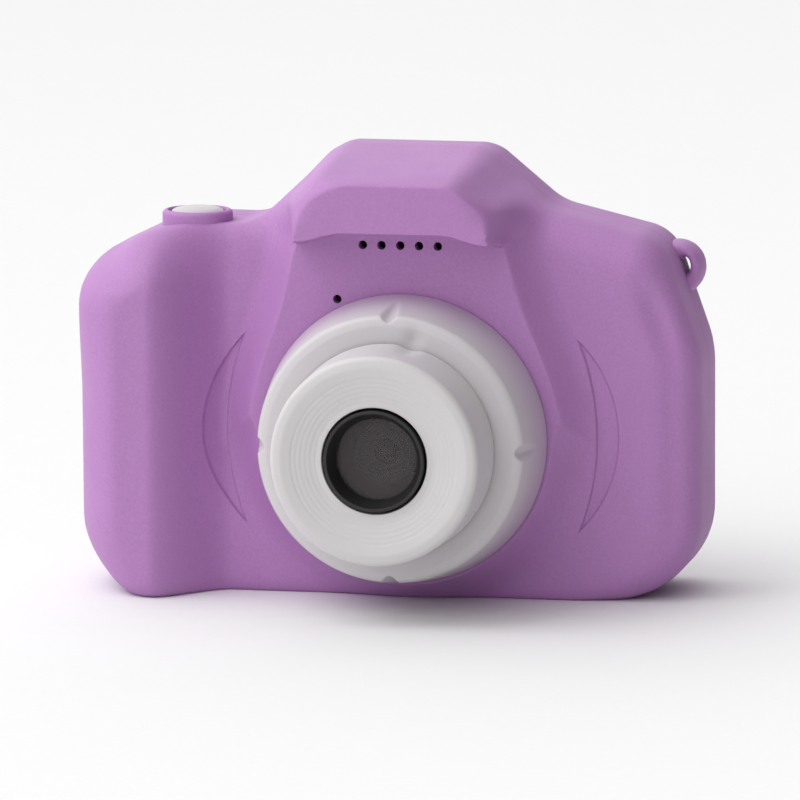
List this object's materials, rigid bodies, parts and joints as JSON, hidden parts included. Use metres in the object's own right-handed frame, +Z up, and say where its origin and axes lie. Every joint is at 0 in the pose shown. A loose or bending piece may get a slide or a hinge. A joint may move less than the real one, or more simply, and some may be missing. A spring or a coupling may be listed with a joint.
{
  "type": "kids digital camera",
  "caption": "Chunky children's digital camera: moulded two-part case with hump, grip and strap eyelet, fixed toy lens, rear screen, keypad, shutter key, rubber port cover.",
  "frame": {"origin": "centre of the bounding box's base, on the flat bottom the camera stands on", "axes": "+X to the right as the lens faces the viewer, -Y the way the lens looks, +Y towards the screen, +Z up"},
  "size_m": [0.0798, 0.0442, 0.0561],
  "materials": {
    "lilac_plastic": "soft-touch matte, fine grain",
    "white_plastic": "satin",
    "black_plastic": "satin",
    "dark_glass": "clear over black, glossy",
    "lilac_rubber": "matte silicone",
    "circuit_board": "solder mask",
    "plated_steel": "nickel plated",
    "black_foam": "foam",
    "battery_foil": "laminated pouch",
    "ribbon_cable": "polyimide film",
    "red_wire": "insulation",
    "black_wire": "insulation",
    "chip_resin": "moulded resin"
  },
  "bodies": {
    "camera_body": {"battery": "battery_foil", "battery_lead_black": "black_wire", "battery_lead_red": "red_wire", "card_socket": "plated_steel", "case_screw_1": "plated_steel", "case_screw_2": "plated_steel", "case_screw_3": "plated_steel", "case_screw_4": "plated_steel", "display_gasket": "black_foam", "display_window": "dark_glass", "down_switch": "black_plastic", "flex_connector": "chip_resin", "front_shell": "lilac_plastic", "image_sensor": "chip_resin", "lcd_flex": "ribbon_cable", "lcd_frame": "plated_steel", "lcd_panel": "dark_glass", "left_switch": "black_plastic", "lens_barrel": "black_plastic", "lens_base_ring": "white_plastic", "lens_bezel": "black_plastic", "lens_element": "dark_glass", "lens_holder": "black_plastic", "lens_tube": "white_plastic", "lens_window": "dark_glass", "main_board": "circuit_board", "memory_card": "chip_resin", "memory_chip": "chip_resin", "microphone": "plated_steel", "mode_switch": "black_plastic", "module_screw_1": "plated_steel", "module_screw_2": "plated_steel", "ok_switch": "black_plastic", "power_switch": "black_plastic", "processor_chip": "chip_resin", "rear_shell": "lilac_plastic", "right_switch": "black_plastic", "sensor_board": "circuit_board", "sensor_flex": "ribbon_cable", "shutter_board": "circuit_board", "shutter_switch": "black_plastic", "speaker": "black_plastic", "speaker_gasket": "black_foam", "speaker_lead_black": "black_wire", "speaker_lead_red": "red_wire", "up_switch": "black_plastic", "usb_socket": "plated_steel"},
    "shutter": {"shutter_button": "white_plastic", "shutter_plunger": "black_plastic"},
    "ok": {"ok_key": "white_plastic"},
    "power": {"power_key": "white_plastic"},
    "mode": {"mode_key": "white_plastic"},
    "left": {"left_key": "white_plastic"},
    "up": {"up_key": "white_plastic"},
    "right": {"right_key": "white_plastic"},
    "down": {"down_key": "white_plastic"},
    "flap": {"port_cover": "lilac_rubber"}
  },
  "joints": [
    {"name": "shutter_press", "type": "slide", "parent": "camera_body", "child": "shutter", "axis": [0, 0, -1], "range_m": [0, 0.0008], "stiffness_N_per_m": 900, "springref_m": -0.0004},
    {"name": "ok_press", "type": "slide", "parent": "camera_body", "child": "ok", "axis": [0, -1, 0], "range_m": [0, 0.0005], "stiffness_N_per_m": 1200, "springref_m": -0.0003},
    {"name": "power_press", "type": "slide", "parent": "camera_body", "child": "power", "axis": [0, -1, 0], "range_m": [0, 0.0005], "stiffness_N_per_m": 1200, "springref_m": -0.0003},
    {"name": "mode_press", "type": "slide", "parent": "camera_body", "child": "mode", "axis": [0, -1, 0], "range_m": [0, 0.0005], "stiffness_N_per_m": 1200, "springref_m": -0.0003},
    {"name": "left_press", "type": "slide", "parent": "camera_body", "child": "left", "axis": [0, -1, 0], "range_m": [0, 0.0005], "stiffness_N_per_m": 1200, "springref_m": -0.0003},
    {"name": "up_press", "type": "slide", "parent": "camera_body", "child": "up", "axis": [0, -1, 0], "range_m": [0, 0.0005], "stiffness_N_per_m": 1200, "springref_m": -0.0003},
    {"name": "right_press", "type": "slide", "parent": "camera_body", "child": "right", "axis": [0, -1, 0], "range_m": [0, 0.0005], "stiffness_N_per_m": 1200, "springref_m": -0.0003},
    {"name": "down_press", "type": "slide", "parent": "camera_body", "child": "down", "axis": [0, -1, 0], "range_m": [0, 0.0005], "stiffness_N_per_m": 1200, "springref_m": -0.0003},
    {"name": "flap_swing", "type": "hinge", "parent": "camera_body", "child": "flap", "pos_m": [-0.0285, 0.0142, 0.00025], "axis": [0, 1, 0], "range_deg": [0, 100]}
  ]
}
